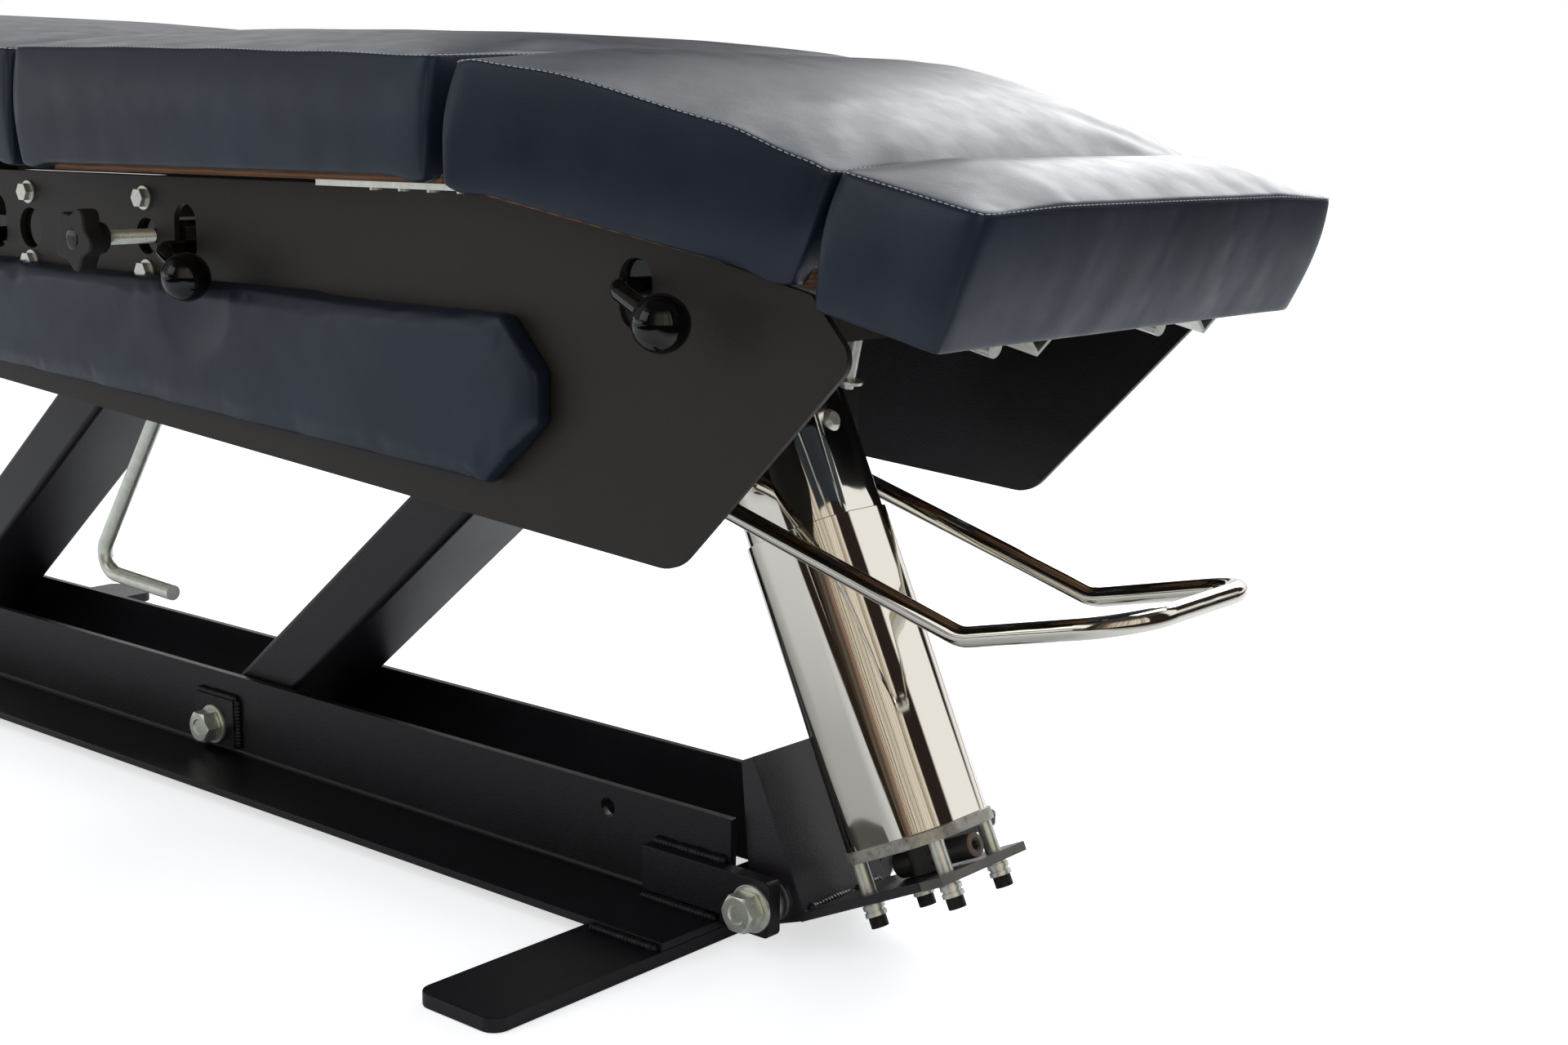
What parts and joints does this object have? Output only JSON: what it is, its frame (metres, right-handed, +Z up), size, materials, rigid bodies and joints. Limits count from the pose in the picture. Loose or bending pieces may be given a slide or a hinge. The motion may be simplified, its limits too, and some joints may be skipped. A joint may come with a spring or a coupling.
{
  "type": "chiropractic table",
  "caption": "Chiropractic treatment table: padded sections over deep side plates on parallel lift arms, raised by a leaning telescopic column on a low rail base.",
  "frame": {"origin": "on the floor, midway along and across the whole table at rest", "axes": "+X towards the foot end, +Y to the far side (the side pad and ball levers on -Y show in the picture), +Z up"},
  "size_m": [1.6711, 0.554, 0.6597],
  "materials": {
    "rails": "satin black powder coat",
    "arms": "satin black powder coat",
    "frame": "fine-textured black powder coat",
    "zinc": "bright zinc plate",
    "raw_steel": "bare and grey-primed steel",
    "black_fastener": "black oxide",
    "chrome": "polished chrome plate",
    "knob": "matt black",
    "rubber": "matt black",
    "vinyl": "dark blue grained vinyl",
    "plywood": "bare plywood"
  },
  "bodies": {
    "base": {"rail_near": "rails", "rail_far": "rails", "foot_bars": "rails", "column_lugs": "rails", "arm_pads": "rails", "pivot_bolts": "zinc", "pivot_nuts": "zinc", "pivot_washers": "zinc"},
    "foot_arm": {"lift_arm_foot": "arms"},
    "head_arm": {"lift_arm_head": "arms"},
    "upper_frame": {"side_plate_near": "frame", "side_plate_far": "frame", "inner_plates": "frame", "plate_bolts": "zinc", "cross_beams": "frame", "pivot_plates": "frame", "frame_pins": "zinc", "bumpers": "rubber", "side_pad_near": "vinyl", "side_pad_far": "vinyl", "head_rods": "zinc"},
    "column": {"column_bracket": "raw_steel", "end_plate": "raw_steel", "outer_sleeve": "chrome", "spacer_tubes": "zinc", "column_screws": "black_fastener", "spring_washers": "zinc", "strap": "raw_steel", "pump_block": "black_fastener", "barrel": "raw_steel"},
    "column_ram": {"inner_sleeve": "chrome", "sleeve_cap": "chrome", "ram": "chrome", "cap_screw": "zinc"},
    "foot_bar": {"pedal_bar": "chrome"},
    "pelvic_lever_turning": {"pelvic_lever": "zinc"},
    "leg_lever_turning": {"leg_lever": "zinc"},
    "thoracic_lever_turning": {"thoracic_lever": "zinc"},
    "tension_knob": {"star_knob": "knob", "knob_stud": "zinc"},
    "release_handle": {"bent_handle": "zinc"},
    "pelvic_section": {"pelvic_board": "plywood", "pelvic_cushion": "vinyl", "board_strips": "zinc"},
    "leg_section": {"leg_board": "plywood", "leg_cushion": "vinyl", "guide_rod": "zinc", "slide_tubes": "zinc"},
    "ankle_section": {"ankle_board": "plywood", "ankle_cushion": "vinyl", "slide_rods": "zinc", "vee_clips": "zinc"},
    "thoracic_section": {"thoracic_board": "plywood", "thoracic_cushion": "vinyl"},
    "head_section": {"head_cradle": "frame", "head_boards": "plywood", "face_cushions": "vinyl"}
  },
  "joints": [
    {"name": "foot_arm_swing", "type": "hinge", "parent": "base", "child": "foot_arm", "pos_m": [-0.099, 0, 0.04], "axis": [0, -1, 0], "range_deg": [-6, 14]},
    {"name": "head_arm_swing", "type": "hinge", "parent": "base", "child": "head_arm", "pos_m": [-0.651, 0, 0.04], "axis": [0, -1, 0], "range_deg": [-6, 14]},
    {"name": "frame_level", "type": "hinge", "parent": "foot_arm", "child": "upper_frame", "pos_m": [0.3283, 0, 0.37989], "axis": [0, -1, 0], "range_deg": [-14, 6]},
    {"name": "column_swing", "type": "hinge", "parent": "base", "child": "column", "pos_m": [0.534, 0, 0.033], "axis": [0, -1, 0], "range_deg": [-2.4, 5.54]},
    {"name": "ram_lift", "type": "slide", "parent": "column", "child": "column_ram", "axis": [-0.4226, 0, 0.9063], "range_m": [-0.05118, 0.11876]},
    {"name": "foot_bar_swing", "type": "hinge", "parent": "upper_frame", "child": "foot_bar", "pos_m": [0.481, 0, 0.32], "axis": [0, 1, 0], "range_deg": [0, 8], "stiffness_Nm_per_rad": 60, "springref_deg": -5.73},
    {"name": "pelvic_lever_turn", "type": "hinge", "parent": "upper_frame", "child": "pelvic_lever_turning", "pos_m": [0.084, 0, 0.4677], "axis": [0, 1, 0], "range_deg": [0, 55.78]},
    {"name": "leg_lever_turn", "type": "hinge", "parent": "upper_frame", "child": "leg_lever_turning", "pos_m": [0.551, 0, 0.466], "axis": [0, 1, 0], "range_deg": [0, 55.78]},
    {"name": "thoracic_lever_turn", "type": "hinge", "parent": "upper_frame", "child": "thoracic_lever_turning", "pos_m": [-0.179, 0, 0.4677], "axis": [0, 1, 0], "range_deg": [0, 55.78]},
    {"name": "tension_knob_turn", "type": "hinge", "parent": "upper_frame", "child": "tension_knob", "pos_m": [0.034, 0, 0.4745], "axis": [0, -1, 0], "continuous": true},
    {"name": "release_handle_swing", "type": "hinge", "parent": "upper_frame", "child": "release_handle", "pos_m": [0.0074, -0.14, 0.3986], "axis": [0, -1, 0], "range_deg": [0, 14], "stiffness_Nm_per_rad": 6, "springref_deg": -11.46},
    {"name": "pelvic_drop", "type": "slide", "parent": "upper_frame", "child": "pelvic_section", "axis": [0, 0, 1], "range_m": [0, 0.0152]},
    {"name": "leg_drop", "type": "slide", "parent": "upper_frame", "child": "leg_section", "axis": [0.2164, 0, 0.9763], "range_m": [0, 0.0152]},
    {"name": "thoracic_drop", "type": "slide", "parent": "upper_frame", "child": "thoracic_section", "axis": [0, 0, 1], "range_m": [0, 0.0152]},
    {"name": "ankle_slide", "type": "slide", "parent": "leg_section", "child": "ankle_section", "axis": [0.9763, 0, -0.2164], "range_m": [0, 0.09]},
    {"name": "head_tilt", "type": "hinge", "parent": "upper_frame", "child": "head_section", "pos_m": [-0.707, 0, 0.495], "axis": [0, 1, 0], "range_deg": [-25, 5]}
  ],
  "couplings": [
    {"joint": "head_arm_swing", "follows": "foot_arm_swing", "ratio": 1},
    {"joint": "frame_level", "follows": "foot_arm_swing", "ratio": -1},
    {"joint": "column_swing", "follows": "foot_arm_swing", "ratio": 0.39196},
    {"joint": "ram_lift", "follows": "foot_arm_swing", "m_per_rad": 0.48398},
    {"joint": "pelvic_lever_turn", "follows": "pelvic_drop", "rad_per_m": 63.996},
    {"joint": "leg_lever_turn", "follows": "leg_drop", "rad_per_m": 63.996},
    {"joint": "thoracic_lever_turn", "follows": "thoracic_drop", "rad_per_m": 63.996}
  ]
}
